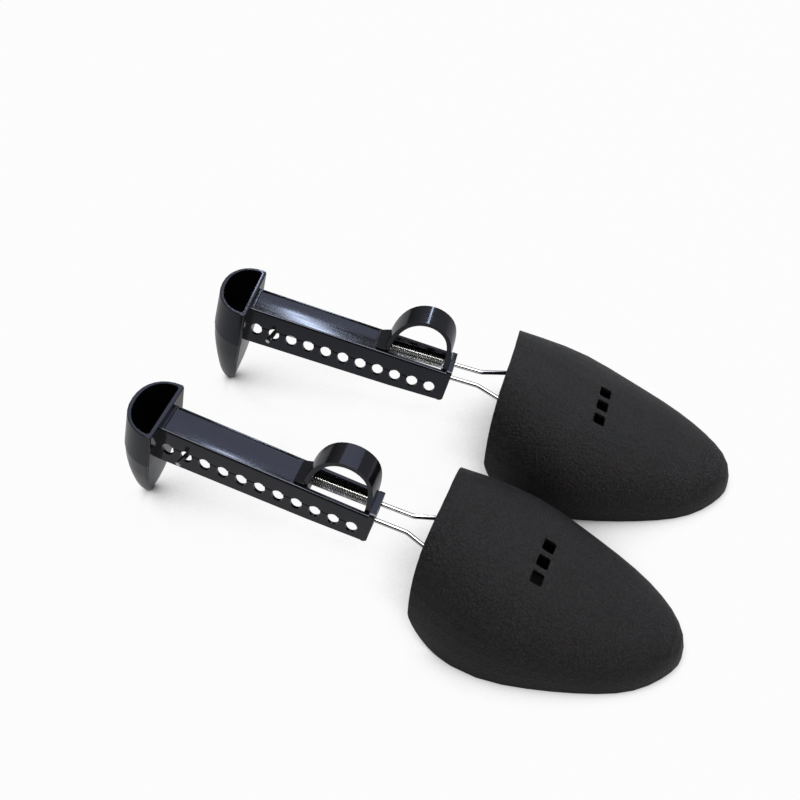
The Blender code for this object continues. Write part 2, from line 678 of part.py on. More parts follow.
def print_bounds():
    graph = bpy.context.evaluated_depsgraph_get()
    low, high = Vector((9, 9, 9)), Vector((-9, -9, -9))
    total = 0
    for item in PARTS.objects:
        if item.type != "MESH":
            continue
        ready = item.evaluated_get(graph)
        mesh = ready.to_mesh()
        mesh.calc_loop_triangles()
        total += len(mesh.loop_triangles)
        print("%-22s %6d triangles" % (item.name, len(mesh.loop_triangles)))
        for vertex in mesh.vertices:
            place = item.matrix_world @ vertex.co
            low = Vector(map(min, low, place))
            high = Vector(map(max, high, place))
        ready.to_mesh_clear()
    print("bounds mm", [round(v / MM, 2) for v in low], [round(v / MM, 2) for v in high])
    print("triangles", total)


def main():
    build_tree("right", -PAIR_CENTRE_X, -PAIR_CENTRE_Y, -TREE_YAW, 0.0, RIGHT_SHELL_Y)
    build_tree("left", TREE_STEP_X - PAIR_CENTRE_X, TREE_STEP_Y - PAIR_CENTRE_Y, TREE_YAW,
               LEFT_BOW_PUSH, LEFT_SHELL_Y)
    print_bounds()


clear_scene()
PARTS = new_collection("shoe_tree_pair")
CUTTERS = new_collection("shoe_tree_cutters")
HANDLE_BLACK = new_material("handle_black_plastic", (0.018, 0.018, 0.02), 0.28, 0.0)
TOE_BLACK = new_material("toe_black_plastic", (0.03, 0.03, 0.033), 0.55, 0.0)
WIRE = new_material("bright_wire", (0.72, 0.72, 0.72), 0.16, 1.0)
STEEL = new_material("plate_steel", (0.5, 0.5, 0.5), 0.35, 1.0)
SPRING_STEEL = new_material("spring_steel", (0.62, 0.61, 0.58), 0.25, 1.0)
main()
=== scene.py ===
"""Studio scene of a pair of sprung shoe trees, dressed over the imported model."""

import json
import math

import bmesh
import bpy
from bpy.props import FloatProperty, FloatVectorProperty, IntProperty, PointerProperty
from bpy.types import Operator, Panel, PropertyGroup
from mathutils import Matrix, Vector


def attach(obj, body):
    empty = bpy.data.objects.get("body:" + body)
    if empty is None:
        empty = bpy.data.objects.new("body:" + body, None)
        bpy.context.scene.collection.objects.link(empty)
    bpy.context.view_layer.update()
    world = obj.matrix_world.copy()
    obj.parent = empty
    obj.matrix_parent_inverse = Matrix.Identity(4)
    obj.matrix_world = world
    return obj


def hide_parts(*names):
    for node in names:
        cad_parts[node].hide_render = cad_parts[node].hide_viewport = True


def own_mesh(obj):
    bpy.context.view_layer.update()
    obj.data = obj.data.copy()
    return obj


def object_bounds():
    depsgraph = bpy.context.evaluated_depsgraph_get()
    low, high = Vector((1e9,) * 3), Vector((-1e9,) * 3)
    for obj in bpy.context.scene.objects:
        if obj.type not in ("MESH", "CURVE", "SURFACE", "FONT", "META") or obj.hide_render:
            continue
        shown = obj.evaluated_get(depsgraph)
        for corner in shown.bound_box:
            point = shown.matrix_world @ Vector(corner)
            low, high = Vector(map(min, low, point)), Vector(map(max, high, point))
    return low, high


bl_info = {
    "name": "Shoe Tree Pair",
    "version": (1, 0, 0),
    "blender": (4, 5, 0),
    "location": "View3D > Sidebar > Shoe Trees",
    "description": "Dresses a pair of sprung plastic shoe trees for a studio picture",
    "category": "Object",
}

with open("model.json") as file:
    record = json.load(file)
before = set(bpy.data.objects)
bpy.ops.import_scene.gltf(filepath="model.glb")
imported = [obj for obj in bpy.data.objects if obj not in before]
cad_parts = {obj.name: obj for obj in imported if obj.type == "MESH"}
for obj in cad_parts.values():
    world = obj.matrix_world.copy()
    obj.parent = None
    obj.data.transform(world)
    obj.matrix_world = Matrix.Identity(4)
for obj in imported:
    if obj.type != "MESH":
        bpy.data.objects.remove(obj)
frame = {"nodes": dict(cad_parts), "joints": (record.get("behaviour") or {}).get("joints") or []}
CAD_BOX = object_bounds()
JOINTS = {joint["name"]: joint for joint in frame["joints"]}

MM = 0.001
SIDES = ("right", "left")
BAR_ALONG = 140.0 * MM      # cross piece of the bow, ahead of the latched hole
BAR_ABOVE = 2.95 * MM       # bow legs above the latch legs

# Features of the handle, in its own frame
LATCHED_HOLE = Vector((12.0, 0.0, -11.5)) * MM      # the second hole, where the wire's end sits
DISH_DEPTH, DISH_HALF = 0.4 * MM, 6.0 * MM          # the flat of the top lies inside low edges
DISH_MIDDLE, DISH_HALF_LONG = 28.25 * MM, 27.25 * MM
PAD_START, PAD_LONG, PAD_HALF, PAD_TOP = 56.5 * MM, 4.9 * MM, 5.6 * MM, 1.1 * MM
PAD_DROP, PAD_RISE = 0.35 * MM, 2.0 * MM       # the pad climbs forwards into the ring's foot
WALL_Y = -7.0 * MM          # outside of the wall that has the holes
LINE_TOP, LINE_DEEP, LINE_LOW = -8.9 * MM, -9.2 * MM, -10.0 * MM       # heights of the pressed line
LINE_DEPTH, RAIL_Y = 0.85 * MM, -6.8 * MM       # its depth, and the wall's outside below it
LINE_START, LINE_END = 4.0 * MM, 84.0 * MM      # in the middle of the first and the last hole
COLLAR_START, COLLAR_TOP, COLLAR_ROUND = 89.2 * MM, 1.2 * MM, 2.0 * MM

# Cuts across the sunk top, as shares of its half width and half length, closer towards its edges
DISH_CUTS = (-0.95, -0.8, -0.6, -0.3, 0.0, 0.3, 0.6, 0.8, 0.95)
LEVEL = 0.9999              # a face whose normal agrees with another by this much lies level with it
ON_FACE = 0.02 * MM         # how near a corner has to be to count as on the sunk top
ROOM = 0.1 * MM             # spare room round a feature when its corners are picked
SKIN_OUT, SKIN_IN = 0.05 * MM, 0.3 * MM     # a corner of the wall's outside lies between these
WELD = 0.002 * MM           # corners closer than this are one corner
CUT_SNAP = 0.0005 * MM      # corners this near a cut lie on it
FLAT_TURN, SMOOTH_TURN = math.radians(0.5), math.radians(38)    # edges to melt away, edges to shade smooth

# Centre lines of the wires in millimetres, along and across the tree, with the radius of each bend
LEG_Y = 4.05                # legs of the bow, and the springs round them
BOW_HALF = ((36.5, LEG_Y), (78.7, LEG_Y), (93.5, 4.1), (125.0, 15.8), (140.0, 15.8))
BOW_BENDS = (0, 8, 5, 5, 2.5)
LATCH_PATH = ((-1.3, -11.5), (0.35, -3.7), (78.7, -3.7), (78.7, 3.7), (40.0, 3.7))
LATCH_BENDS = (0, 2.2, 2.2, 2.2, 0)

COIL_START, COIL_END = 50.95 * MM, 75.65 * MM       # between the guide plate and the spring plate
COIL_RADIUS = 1.42 * MM
COIL_STEPS = 14             # straight lengths in one curl
PLATE_EDGE = 0.12 * MM      # burr taken off the punched plates

FLOOR_HALF, FLOOR_GAP = 3.0, 0.05 * MM
FLOOR_SHARE = 0.27          # how much of the floor's white shows in the bright metal
NOOK = 60 * MM              # reach of the painted shade, from ambient occlusion, where the pieces come near the floor
BRIGHT_WAY = (0.4, 0.5, 0.75)       # the side of the room that is bright
LAMP_TARGET = Vector((0, 0, 0.03))
# name, place, size, power and tint of each lamp
LAMPS = (("softbox_back", (0.1, 1.05, 1.7), (2.4, 0.9), 7.4, (0.72, 0.78, 1.0)),
         ("window_strip", (-0.075, 1.15, 0.83), (0.08, 0.52), 2.7, (0.76, 0.86, 1.0)),
         ("softbox_top", (0.25, 0.05, 1.7), (0.9, 0.9), 16.5, (1.0, 0.98, 0.96)))
CAMERA_PLACE, CAMERA_LENS, CAMERA_SENSOR = (0.06668, -0.27004, 0.3915), 49.5, 36.0
CAMERA_TURN = (math.radians(40.16), 0.0, math.radians(16.72))


def linear(code):
    """Turn an sRGB hex colour into the linear values that shaders take."""
    values = [int(code[i:i + 2], 16) / 255 for i in (1, 3, 5)]
    return tuple(v / 12.92 if v <= 0.04045 else ((v + 0.055) / 1.055) ** 2.4 for v in values)


# Sizes and colours that a user would change

class ToeShellSettings(PropertyGroup):
    edge: FloatProperty(name="Edge round", description="Rounding of the rim and vents", default=0.45 * MM,
                        unit="LENGTH")
    grain: FloatProperty(name="Grain", description="Width of one pebble of the moulded grain",
                         default=0.9 * MM, unit="LENGTH")
    colour: FloatVectorProperty(name="Colour", description="Matt black of the toe shells", subtype="COLOR",
                                default=linear("#1a1a1b"))


class HandleSettings(PropertyGroup):
    edge: FloatProperty(name="Edge round", description="Rounding of the moulding's edges",
                        default=0.22 * MM, unit="LENGTH")
    sag: FloatProperty(name="Sink", description="How far the top sinks between its edges",
                       default=0.4 * MM, unit="LENGTH")
    crown: FloatProperty(name="Crown", description="How far the ends of the top lie below its middle",
                         default=0.3 * MM, unit="LENGTH")
    colour: FloatVectorProperty(name="Colour", description="Gloss black of the handles", subtype="COLOR",
                                default=linear("#161618"))


class WireSettings(PropertyGroup):
    diameter: FloatProperty(name="Diameter", description="Thickness of the bent wires", default=2.0 * MM,
                            unit="LENGTH")
    colour: FloatVectorProperty(name="Colour", description="Bright plating of the wires", subtype="COLOR",
                                default=linear("#dcdcda"))
    turns: IntProperty(name="Spring turns", description="Curls in one coil spring", default=23, min=4)
    spring_wire: FloatProperty(name="Spring wire", description="Thickness of the spring's wire",
                               default=0.42 * MM, unit="LENGTH")


# Frames of reference, taken from the joints

def bow_place(side):
    """Frame of the bow, with X along the wires and Y across the tree."""
    travel, tilt = JOINTS[side + "_spring_travel"], JOINTS[side + "_toe_tilt"]
    ahead, across = Vector(travel["axis"]), Vector(tilt["axis"])
    above = ahead.cross(across)
    origin = Vector(tilt["pos_m"]) - ahead * BAR_ALONG - above * BAR_ABOVE
    return Matrix.Translation(origin) @ Matrix((ahead, across, above)).transposed().to_4x4()


def bow_push(side):
    """How far the bow is pressed in against its springs as the trees lie."""
    return max(JOINTS[side + "_spring_travel"]["range_m"])


def latch_place(side):
    """Frame at the latched hole; the bow stands behind it by its push."""
    return bow_place(side) @ Matrix.Translation((bow_push(side), 0.0, 0.0))


def handle_place(side):
    """Frame of the handle, from the middle of its rear end: X along it, Z up from its top."""
    along = Vector(JOINTS[side + "_length_adjust"]["axis"])
    across = Vector(JOINTS[side + "_toe_tilt"]["axis"])
    turn = Matrix((along, across, along.cross(across))).transposed()
    origin = latch_place(side).translation - turn @ LATCHED_HOLE
    return Matrix.Translation(origin) @ turn.to_4x4()


# Helpers for meshes and pieces

def new_piece(name, work, place, material, body, replaced):
    """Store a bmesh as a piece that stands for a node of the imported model."""
    mesh = bpy.data.meshes.new(name)
    if place is not None:
        work.transform(place)
    work.to_mesh(mesh)
    work.free()
    mesh.materials.append(material)
    mesh.shade_smooth()
    mesh.set_sharp_from_angle(angle=SMOOTH_TURN)
    piece = bpy.data.objects.new(name, mesh)
    bpy.context.scene.collection.objects.link(piece)
    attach(piece, body)
    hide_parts(replaced)
    return piece


def node_copy(node):
    """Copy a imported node's triangles, joined up and with flat areas made whole."""
    work = bmesh.new()
    work.from_mesh(frame["nodes"][node].data)
    bmesh.ops.remove_doubles(work, verts=work.verts, dist=WELD)
    bmesh.ops.dissolve_limit(work, angle_limit=FLAT_TURN, verts=work.verts, edges=work.edges)
    return work


def soften_edges(work, width, segments, angle):
    """Round every edge that turns by more than an angle in degrees."""
    limit = math.radians(angle)
    sharp = [edge for edge in work.edges if edge.is_manifold and edge.calc_face_angle(0.0) > limit]
    bmesh.ops.bevel(work, geom=sharp, offset=width, offset_type="OFFSET", segments=segments, profile=0.5,
                    affect="EDGES", clamp_overlap=True, material=-1)


def cut_faces(work, faces, point, normal):
    """Cut some faces, with their edges and corners, along a plane."""
    parts = dict.fromkeys(faces)        # a dict holds each part once, in order
    for face in faces:
        parts.update(dict.fromkeys(face.edges))
        parts.update(dict.fromkeys(face.verts))
    bmesh.ops.bisect_plane(work, geom=list(parts), dist=CUT_SNAP, plane_co=point, plane_no=normal)


def keep_flats(piece):
    """Let the large flat faces set the shading at the rounded edges."""
    modifier = piece.modifiers.new("Flat faces", "WEIGHTED_NORMAL")
    modifier.keep_sharp = True


def sink_dish(work, place, sag, crown):
    """Sink the flat of the handle's top towards its middle line and its ends, as the moulding shrinks."""
    back = place.inverted()
    above = place.to_3x3().col[2]

    def flat():
        return [face for face in work.faces if face.normal.dot(above) > LEVEL
                and all(abs((back @ vert.co).z + DISH_DEPTH) < ON_FACE for vert in face.verts)]

    for share in DISH_CUTS:
        cut_faces(work, flat(), place @ Vector((0, share * DISH_HALF, 0)), place.to_3x3().col[1])
        cut_faces(work, flat(), place @ Vector((DISH_MIDDLE + share * DISH_HALF_LONG, 0, 0)),
                  place.to_3x3().col[0])
    for vert in {vert for face in flat() for vert in face.verts}:
        spot = back @ vert.co
        across, along = spot.y / DISH_HALF, (spot.x - DISH_MIDDLE) / DISH_HALF_LONG
        vert.co -= above * (sag * max(0.0, 1 - across * across) + crown * along * along)


def tilt_pad(work, place):
    """Let the pad on the top climb into the foot of the ring."""
    back = place.inverted()
    above = place.to_3x3().col[2]
    for vert in work.verts:
        spot = back @ vert.co
        along = (spot.x - PAD_START) / PAD_LONG
        on_pad = -0.04 < along < 1.04 and abs(spot.y) < PAD_HALF + ROOM
        on_top = 0.5 < spot.z / PAD_TOP < 1.05
        if on_pad and on_top:
            vert.co += above * (PAD_DROP * (along - 1) + PAD_RISE * along)


def round_collar(work, place):
    """Round the two upper corners of the collar at the handle's mouth."""
    back = place.inverted()
    turn = place.to_3x3()
    side, low = -WALL_Y - COLLAR_ROUND, COLLAR_TOP - COLLAR_ROUND

    def collar():
        return [face for face in work.faces
                if all((back @ vert.co).x > COLLAR_START - ROOM for vert in face.verts)]

    for across in (-side, side):
        cut_faces(work, collar(), place @ Vector((0, across, 0)), turn.col[1])
    for height in (low, low + 0.3 * COLLAR_ROUND):
        cut_faces(work, collar(), place @ Vector((0, 0, height)), turn.col[2])
    for vert in work.verts:
        spot = back @ vert.co
        away = Vector((0, abs(spot.y) - side, spot.z - low))
        if spot.x > COLLAR_START - ROOM and min(away.yz) > 0 and away.length > COLLAR_ROUND:
            moved = away * COLLAR_ROUND / away.length
            spot.y, spot.z = math.copysign(side + moved.y, spot.y), low + moved.z
            vert.co = place @ spot


def press_line(work, place):
    """Press the line that runs through the holes, undercut above and sloping out below."""
    back = place.inverted()
    turn = place.to_3x3()

    def wall():
        return [face for face in work.faces
                if all(-SKIN_OUT < (back @ vert.co).y - WALL_Y < SKIN_IN for vert in face.verts)]

    for height in (LINE_TOP, LINE_DEEP, LINE_LOW):
        cut_faces(work, wall(), place @ Vector((0, 0, height)), turn.col[2])
    deep = WALL_Y + LINE_DEPTH
    for vert in work.verts:
        spot = back @ vert.co
        if not (LINE_START < spot.x < LINE_END and LINE_LOW < spot.z < LINE_TOP
                and WALL_Y - SKIN_OUT < spot.y < deep):
            continue
        if spot.z > LINE_DEEP:
            floor = WALL_Y + LINE_DEPTH * (LINE_TOP - spot.z) / (LINE_TOP - LINE_DEEP)
        else:
            floor = deep + (RAIL_Y - deep) * (LINE_DEEP - spot.z) / (LINE_DEEP - LINE_LOW)
        vert.co += turn.col[1] * max(0.0, floor - spot.y)


def bent_wire(work, points, bends, radius, sides=16, steps=8):
    """Run a round section along a path, drawn straight and spun round at each bend; work is empty."""
    points = [Vector(point) for point in points]
    heading = (points[1] - points[0]).normalized()
    turn = heading.to_track_quat("Z", "Y").to_matrix().to_4x4()
    bmesh.ops.create_circle(work, cap_ends=True, radius=radius, segments=sides,
                            matrix=Matrix.Translation(points[0]) @ turn)
    edges = work.edges[:]
    here = points[0]
    for i in range(1, len(points)):
        last = i == len(points) - 1
        stop = points[i]
        if not last:
            after = (points[i + 1] - points[i]).normalized()
            angle = heading.angle(after)
            stop = points[i] - heading * bends[i] * math.tan(angle / 2)
        moved = bmesh.ops.extrude_edge_only(work, edges=edges)["geom"]
        edges = [item for item in moved if isinstance(item, bmesh.types.BMEdge)]
        verts = [item for item in moved if isinstance(item, bmesh.types.BMVert)]
        bmesh.ops.translate(work, verts=verts, vec=stop - here)
        here = stop
        if last:
            bmesh.ops.contextual_create(work, geom=edges)
            break
        axis = heading.cross(after).normalized()
        centre = stop + axis.cross(heading) * bends[i]
        swept = bmesh.ops.spin(work, geom=edges, cent=centre, axis=axis, dvec=(0, 0, 0), angle=angle,
                               steps=steps, use_merge=False)
        edges = [item for item in swept["geom_last"] if isinstance(item, bmesh.types.BMEdge)]
        here = centre + Matrix.Rotation(angle, 3, axis) @ (stop - centre)
        heading = after
    bmesh.ops.remove_doubles(work, verts=work.verts, dist=WELD)
    bmesh.ops.recalc_face_normals(work, faces=work.faces)


# Materials

def new_material(name):
    """Start a material; returns it with its node tree and its shader."""
    material = bpy.data.materials.new(name)
    material.use_nodes = True
    tree = material.node_tree
    return material, tree, tree.nodes["Principled BSDF"]


def add_node(tree, kind, links=(), values=(), **settings):
    """Add one node, with its settings, its fixed inputs and the links into it."""
    node = tree.nodes.new(kind)
    for key, value in settings.items():
        setattr(node, key, value)
    for key, value in values:
        node.inputs[key].default_value = value
    for key, socket in links:
        tree.links.new(socket, node.inputs[key])
    return node


def grained_black(colour, grain):
    """Polypropylene from a grained mould: soft sheen over small leathery pebbles."""
    material, tree, shader = new_material("grained_matt_polypropylene")
    shader.inputs["IOR"].default_value = 1.49
    shader.inputs["Specular IOR Level"].default_value = 0.45
    place = add_node(tree, "ShaderNodeTexCoord")
    pebbles = add_node(tree, "ShaderNodeTexVoronoi", [("Vector", place.outputs["Object"])],
                       [("Scale", 1 / grain), ("Randomness", 0.9)], feature="SMOOTH_F1")
    # the tops of the pebbles carry a painted sheen and the hollows between them painted shade, and the black
    # is warmer in some patches
    clouds = add_node(tree, "ShaderNodeTexNoise", [("Vector", place.outputs["Object"])],
                      [("Scale", 1 / (16 * MM)), ("Detail", 1.0)])
    warmth = add_node(tree, "ShaderNodeMapRange", [("Value", clouds.outputs["Fac"])],
                      [("From Min", 0.35), ("From Max", 0.65)])
    # a colour mix takes its two colours in sockets 6 and 7 and gives the result in socket 2
    black = add_node(tree, "ShaderNodeMix", [("Factor", warmth.outputs["Result"])],
                     [(6, (*colour, 1)), (7, (*linear("#201c1e"), 1))], data_type="RGBA")
    # painted sheen and shade: the base colour is scaled up on the pebble tops and down in the hollows
    # between them
    pebble_sheen_and_shade = add_node(tree, "ShaderNodeMapRange", [("Value", pebbles.outputs["Distance"])],
                      [("From Min", 0.15), ("From Max", 0.55), ("To Min", 1.9), ("To Max", 0.5)])
    shade = add_node(tree, "ShaderNodeVectorMath",
                     [(0, black.outputs[2]), ("Scale", pebble_sheen_and_shade.outputs["Result"])], operation="SCALE")
    tree.links.new(shade.outputs["Vector"], shader.inputs["Base Color"])
    dust = add_node(tree, "ShaderNodeTexNoise", [("Vector", place.outputs["Object"])],
                    [("Scale", 1 / (0.35 * MM)), ("Detail", 3.0)])
    both = add_node(tree, "ShaderNodeMath", [(0, pebbles.outputs["Distance"]), (1, dust.outputs["Fac"])],
                    operation="ADD")
    bump = add_node(tree, "ShaderNodeBump", [("Height", both.outputs[0])],
                    [("Strength", 1.0), ("Distance", 0.6 * MM)], invert=True)
    patches = add_node(tree, "ShaderNodeTexNoise", [("Vector", place.outputs["Object"])],
                       [("Scale", 1 / (22 * MM)), ("Detail", 2.0)])
    rough = add_node(tree, "ShaderNodeMapRange", [("Value", patches.outputs["Fac"])],
                     [("To Min", 0.4), ("To Max", 0.5)])
    tree.links.new(rough.outputs["Result"], shader.inputs["Roughness"])
    tree.links.new(bump.outputs["Normal"], shader.inputs["Normal"])
    return material


def polished_black(colour):
    """ABS from a polished mould: deep gloss, slightly wavy, with faint handling marks."""
    material, tree, shader = new_material("polished_black_abs")
    shader.inputs["Base Color"].default_value = (*colour, 1)
    shader.inputs["IOR"].default_value = 1.54
    shader.inputs["Specular Tint"].default_value = (0.8, 0.83, 1.0, 1)
    place = add_node(tree, "ShaderNodeTexCoord")
    waves = add_node(tree, "ShaderNodeTexNoise", [("Vector", place.outputs["Object"])],
                     [("Scale", 1 / (14 * MM)), ("Detail", 1.0)])
    # handling marks, wiped along the top in lines half a millimetre apart, drawn wider to show
    wiped = add_node(tree, "ShaderNodeMapping", [("Vector", place.outputs["Object"])],
                     [("Scale", (1 / (14 * MM), 1 / (0.9 * MM), 1 / (14 * MM)))])
    marks = add_node(tree, "ShaderNodeTexNoise", [("Vector", wiped.outputs["Vector"])],
                     [("Scale", 1.0), ("Detail", 4.0)])
    rough = add_node(tree, "ShaderNodeMapRange", [("Value", marks.outputs["Fac"])],
                     [("From Min", 0.3), ("From Max", 0.7), ("To Min", 0.08), ("To Max", 0.2)])
    bump = add_node(tree, "ShaderNodeBump", [("Height", waves.outputs["Fac"])],
                    [("Strength", 0.3), ("Distance", 0.2 * MM)])
    tree.links.new(rough.outputs["Result"], shader.inputs["Roughness"])
    tree.links.new(bump.outputs["Normal"], shader.inputs["Normal"])
    return material


def bright_wire(name, colour, roughness):
    """Nickel-plated drawn steel: mirror bright, with faint lines from the drawing die."""
    material, tree, shader = new_material(name)
    shader.inputs["Base Color"].default_value = (*colour, 1)
    shader.inputs["Metallic"].default_value = 1.0
    place = add_node(tree, "ShaderNodeTexCoord")
    drawn = add_node(tree, "ShaderNodeTexNoise", [("Vector", place.outputs["Object"])],
                     [("Scale", 1 / (0.6 * MM)), ("Detail", 2.0)])
    rough = add_node(tree, "ShaderNodeMapRange", [("Value", drawn.outputs["Fac"])],
                     [("To Min", roughness * 0.7), ("To Max", roughness * 1.3)])
    tree.links.new(rough.outputs["Result"], shader.inputs["Roughness"])
    return material


def pressed_steel():
    """Cold-rolled strip steel, punched out: dull grey with fine rolling lines."""
    material, tree, shader = new_material("cold_rolled_strip_steel")
    shader.inputs["Base Color"].default_value = (*linear("#9a9a98"), 1)
    shader.inputs["Metallic"].default_value = 1.0
    place = add_node(tree, "ShaderNodeTexCoord")
    lines = add_node(tree, "ShaderNodeMapping", [("Vector", place.outputs["Object"])],
                     [("Scale", (1 / (4 * MM), 1 / (4 * MM), 1 / (0.2 * MM)))])
    rolled = add_node(tree, "ShaderNodeTexNoise", [("Vector", lines.outputs["Vector"])],
                      [("Scale", 1.0), ("Detail", 2.0)])
    rough = add_node(tree, "ShaderNodeMapRange", [("Value", rolled.outputs["Fac"])],
                     [("To Min", 0.3), ("To Max", 0.5)])
    tree.links.new(rough.outputs["Result"], shader.inputs["Roughness"])
    return material


# Operators

class SHOETREES_OT_handles(Operator):
    """Round the edges of both handles and polish them"""
    bl_idname = "shoetrees.handles"
    bl_label = "Handles"

    def execute(self, context):
        settings = context.scene.handle_settings
        material = polished_black(settings.colour)
        for side in SIDES:
            work = node_copy(side + "_handle")
            place = handle_place(side)
            sink_dish(work, place, settings.sag, settings.crown)
            tilt_pad(work, place)
            round_collar(work, place)
            soften_edges(work, settings.edge, segments=4, angle=48)
            press_line(work, place)
            keep_flats(new_piece(side + "_handle_moulding", work, None, material, side + "_heel_part",
                                 side + "_handle"))
        return {"FINISHED"}


class SHOETREES_OT_toe_shells(Operator):
    """Round the rims of both toe shells and give them their grain"""
    bl_idname = "shoetrees.toe_shells"
    bl_label = "Toe shells"

    def execute(self, context):
        settings = context.scene.toe_settings
        material = grained_black(settings.colour, settings.grain)
        for side in SIDES:
            work = node_copy(side + "_toe_shell")
            soften_edges(work, settings.edge, segments=2, angle=50)
            new_piece(side + "_toe_moulding", work, None, material, side + "_toe_part",
                      side + "_toe_shell")
        return {"FINISHED"}


class SHOETREES_OT_toe_bows(Operator):
    """Bend the wire bow that carries each toe shell"""
    bl_idname = "shoetrees.toe_bows"
    bl_label = "Toe bows"

    def execute(self, context):
        settings = context.scene.wire_settings
        material = bright_wire("nickel_plated_bow_wire", settings.colour, 0.1)
        path = [(x * MM, -y * MM, BAR_ABOVE) for x, y in BOW_HALF]
        path += [(x * MM, y * MM, BAR_ABOVE) for x, y in reversed(BOW_HALF)]
        bends = [value * MM for value in BOW_BENDS + BOW_BENDS[::-1]]
        for side in SIDES:
            work = bmesh.new()
            bent_wire(work, path, bends, settings.diameter / 2)
            new_piece(side + "_bow_wire", work, bow_place(side), material, side + "_bow_part",
                      side + "_toe_bow")
        return {"FINISHED"}


class SHOETREES_OT_latch_wires(Operator):
    """Bend the wire whose end sits in a hole of the handle"""
    bl_idname = "shoetrees.latch_wires"
    bl_label = "Latch wires"

    def execute(self, context):
        settings = context.scene.wire_settings
        material = bright_wire("nickel_plated_latch_wire", settings.colour, 0.12)
        path = [(x * MM, y * MM, 0.0) for x, y in LATCH_PATH]
        bends = [value * MM for value in LATCH_BENDS]
        for side in SIDES:
            work = bmesh.new()
            bent_wire(work, path, bends, settings.diameter / 2)
            new_piece(side + "_latch_rod", work, latch_place(side), material, side + "_latch_part",
                      side + "_latch_wire")
        return {"FINISHED"}


class SHOETREES_OT_plates(Operator):
    """Deburr the two punched plates of each tree"""
    bl_idname = "shoetrees.plates"
    bl_label = "Plates"

    def execute(self, context):
        material = pressed_steel()
        for side in SIDES:
            for plate, body in (("guide_plate", "latch_part"), ("spring_plate", "bow_part")):
                work = node_copy("%s_%s" % (side, plate))
                soften_edges(work, PLATE_EDGE, segments=2, angle=50)
                keep_flats(new_piece("%s_%s_punched" % (side, plate), work, None, material,
                                     "%s_%s" % (side, body), "%s_%s" % (side, plate)))
        return {"FINISHED"}


class SHOETREES_OT_springs(Operator):
    """Wind the fine coil springs round the legs of each bow"""
    bl_idname = "shoetrees.springs"
    bl_label = "Springs"

    def execute(self, context):
        settings = context.scene.wire_settings
        material = bright_wire("bright_spring_wire", linear("#cfcdc6"), 0.2)
        steps = settings.turns * COIL_STEPS
        for side in SIDES:
            start, stop = COIL_START, COIL_END - bow_push(side)
            for number, way in ((1, -1), (2, 1)):
                work = bmesh.new()
                axis_y = way * LEG_Y * MM
                place = Matrix.Translation((start, axis_y + COIL_RADIUS, BAR_ABOVE))
                face = Matrix.Rotation(math.radians(90), 4, "X")        # the wire's section stands upright
                bmesh.ops.create_circle(work, cap_ends=True, radius=settings.spring_wire / 2,
                                        segments=8, matrix=place @ face)
                step = (stop - start) / steps
                swept = bmesh.ops.spin(work, geom=work.edges[:], cent=(start, axis_y, BAR_ABOVE),
                                       axis=(1, 0, 0), dvec=(step, 0, 0), steps=steps,
                                       angle=2 * math.pi * settings.turns, use_merge=False)
                end = [item for item in swept["geom_last"] if isinstance(item, bmesh.types.BMEdge)]
                bmesh.ops.contextual_create(work, geom=end)
                bmesh.ops.remove_doubles(work, verts=work.verts, dist=WELD)
                bmesh.ops.recalc_face_normals(work, faces=work.faces)
                coil = new_piece("%s_coil_%d" % (side, number), work, latch_place(side), material,
                                 side + "_latch_part", "%s_spring_%d" % (side, number))
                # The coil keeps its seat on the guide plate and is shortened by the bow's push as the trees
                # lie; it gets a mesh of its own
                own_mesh(coil)
        return {"FINISHED"}


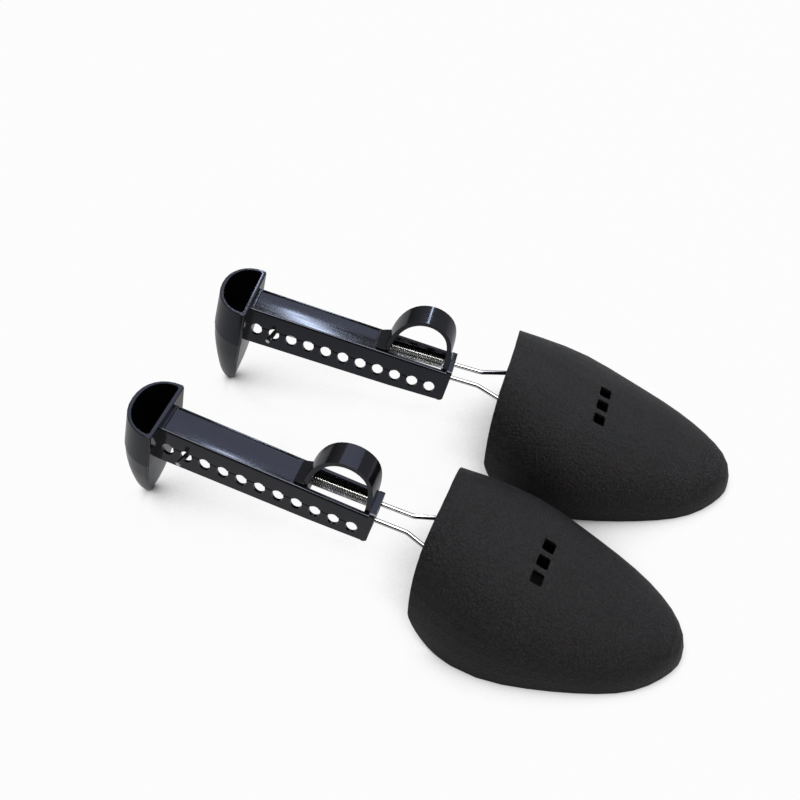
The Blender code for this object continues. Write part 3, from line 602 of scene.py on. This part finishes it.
class SHOETREES_OT_stage(Operator):
    """Set the floor, the lamps and the camera"""
    bl_idname = "shoetrees.stage"
    bl_label = "Stage"

    def execute(self, context):
        scene = context.scene
        scene.view_settings.view_transform = "Standard"

        # white to the eye; for light it is bright above, behind and to the right, dark to the left
        world = bpy.data.worlds.new("white_studio")
        scene.world = world
        world.use_nodes = True
        tree = world.node_tree
        way = add_node(tree, "ShaderNodeTexCoord")
        slope = add_node(tree, "ShaderNodeVectorMath", [(0, way.outputs["Generated"])],
                         [(1, BRIGHT_WAY)], operation="DOT_PRODUCT")
        level = add_node(tree, "ShaderNodeMapRange", [("Value", slope.outputs["Value"])],
                         [("From Min", -0.05), ("From Max", 0.8), ("To Min", 0.04), ("To Max", 0.32)],
                         interpolation_type="SMOOTHSTEP")
        back = tree.nodes["Background"]
        back.inputs["Color"].default_value = (1, 1, 1, 1)
        tree.links.new(level.outputs["Result"], back.inputs["Strength"])
        seen = add_node(tree, "ShaderNodeBackground", values=[("Color", (1, 1, 1, 1)), ("Strength", 1.0)])
        ray = add_node(tree, "ShaderNodeLightPath")
        mix = add_node(tree, "ShaderNodeMixShader", [("Fac", ray.outputs["Is Camera Ray"]),
                                                     (1, back.outputs[0]), (2, seen.outputs[0])])
        tree.links.new(mix.outputs[0], tree.nodes["World Output"].inputs["Surface"])

        work = bmesh.new()
        bmesh.ops.create_grid(work, x_segments=2, y_segments=2, size=FLOOR_HALF)
        mesh = bpy.data.meshes.new("floor")
        bmesh.ops.translate(work, verts=work.verts, vec=(0, 0, CAD_BOX[0][2] - FLOOR_GAP))
        work.to_mesh(mesh)
        work.free()
        floor = bpy.data.objects.new("floor", mesh)
        scene.collection.objects.link(floor)
        paper, tree, shader = new_material("white_paper_sweep")
        shader.inputs["Roughness"].default_value = 0.9
        shader.inputs["Specular IOR Level"].default_value = 0.1
        glow = add_node(tree, "ShaderNodeEmission", values=[("Color", (1, 1, 1, 1)), ("Strength", 1.0)])
        ray = add_node(tree, "ShaderNodeLightPath")
        bounced = add_node(tree, "ShaderNodeMath", [(0, ray.outputs["Is Glossy Ray"]),
                                                    (1, ray.outputs["Is Transmission Ray"])],
                           operation="ADD", use_clamp=True)
        seen = add_node(tree, "ShaderNodeMath", [(0, bounced.outputs[0]), (2, ray.outputs["Is Camera Ray"])],
                        [(1, FLOOR_SHARE)], operation="MULTIPLY_ADD", use_clamp=True)
        # painted shade: ambient occlusion darkens the floor's glow and its colour near and under the pieces,
        # on top of the shadows the lamps cast
        nook = add_node(tree, "ShaderNodeAmbientOcclusion", values=[("Distance", NOOK)], samples=16)
        open_part = add_node(tree, "ShaderNodeMapRange", [("Value", nook.outputs["AO"])],
                             [("From Min", 0.35), ("From Max", 0.72), ("To Min", 0.0), ("To Max", 0.97)])
        painted_nook_shade = add_node(tree, "ShaderNodeMapRange", [("Value", nook.outputs["AO"])],
                        [("From Min", 0.1), ("From Max", 0.5), ("To Min", 0.04),
                         ("To Max", linear("#949494")[0])])
        tree.links.new(painted_nook_shade.outputs["Result"], shader.inputs["Base Color"])
        part = add_node(tree, "ShaderNodeMath", [(0, seen.outputs[0]), (1, open_part.outputs[0])],
                        operation="MULTIPLY")
        mix = add_node(tree, "ShaderNodeMixShader", [("Fac", part.outputs[0]), (1, shader.outputs[0]),
                                                     (2, glow.outputs[0])])
        tree.links.new(mix.outputs[0], tree.nodes["Material Output"].inputs["Surface"])
        mesh.materials.append(paper)

        for name, spot, size, power, tint in LAMPS:
            light = bpy.data.lights.new(name, "AREA")
            light.color = tint
            light.shape = "RECTANGLE"
            light.size, light.size_y = size
            light.energy = power
            lamp = bpy.data.objects.new(name, light)
            lamp.location = spot
            lamp.rotation_euler = (LAMP_TARGET - Vector(spot)).to_track_quat("-Z", "Y").to_euler()
            scene.collection.objects.link(lamp)

        lens = bpy.data.cameras.new("camera")
        lens.lens = CAMERA_LENS
        lens.sensor_width = CAMERA_SENSOR
        camera = bpy.data.objects.new("camera", lens)
        camera.location = CAMERA_PLACE
        camera.rotation_euler = CAMERA_TURN
        scene.collection.objects.link(camera)
        scene.camera = camera
        return {"FINISHED"}


class SHOETREES_PT_sidebar(Panel):
    bl_label = "Shoe Trees"
    bl_idname = "SHOETREES_PT_sidebar"
    bl_space_type = "VIEW_3D"
    bl_region_type = "UI"
    bl_category = "Shoe Trees"

    def draw(self, context):
        for operator in OPERATORS:
            self.layout.operator(operator.bl_idname)
        for name in ("handle_settings", "toe_settings", "wire_settings"):
            group = getattr(context.scene, name)
            for key in group.bl_rna.properties.keys():
                if key not in ("rna_type", "name"):
                    self.layout.prop(group, key)


SETTINGS = (("handle_settings", HandleSettings), ("toe_settings", ToeShellSettings),
            ("wire_settings", WireSettings))
OPERATORS = (SHOETREES_OT_handles, SHOETREES_OT_toe_shells, SHOETREES_OT_toe_bows,
             SHOETREES_OT_latch_wires, SHOETREES_OT_plates, SHOETREES_OT_springs, SHOETREES_OT_stage)


def register():
    for name, group in SETTINGS:
        bpy.utils.register_class(group)
        setattr(bpy.types.Scene, name, PointerProperty(type=group))
    for operator in OPERATORS:
        bpy.utils.register_class(operator)
    bpy.utils.register_class(SHOETREES_PT_sidebar)


def unregister():
    bpy.utils.unregister_class(SHOETREES_PT_sidebar)
    for operator in reversed(OPERATORS):
        bpy.utils.unregister_class(operator)
    for name, group in reversed(SETTINGS):
        delattr(bpy.types.Scene, name)
        bpy.utils.unregister_class(group)


def main():
    register()
    bpy.ops.shoetrees.handles()
    bpy.ops.shoetrees.toe_shells()
    bpy.ops.shoetrees.toe_bows()
    bpy.ops.shoetrees.latch_wires()
    bpy.ops.shoetrees.plates()
    bpy.ops.shoetrees.springs()
    bpy.ops.shoetrees.stage()


if __name__ == "__main__":
    main()
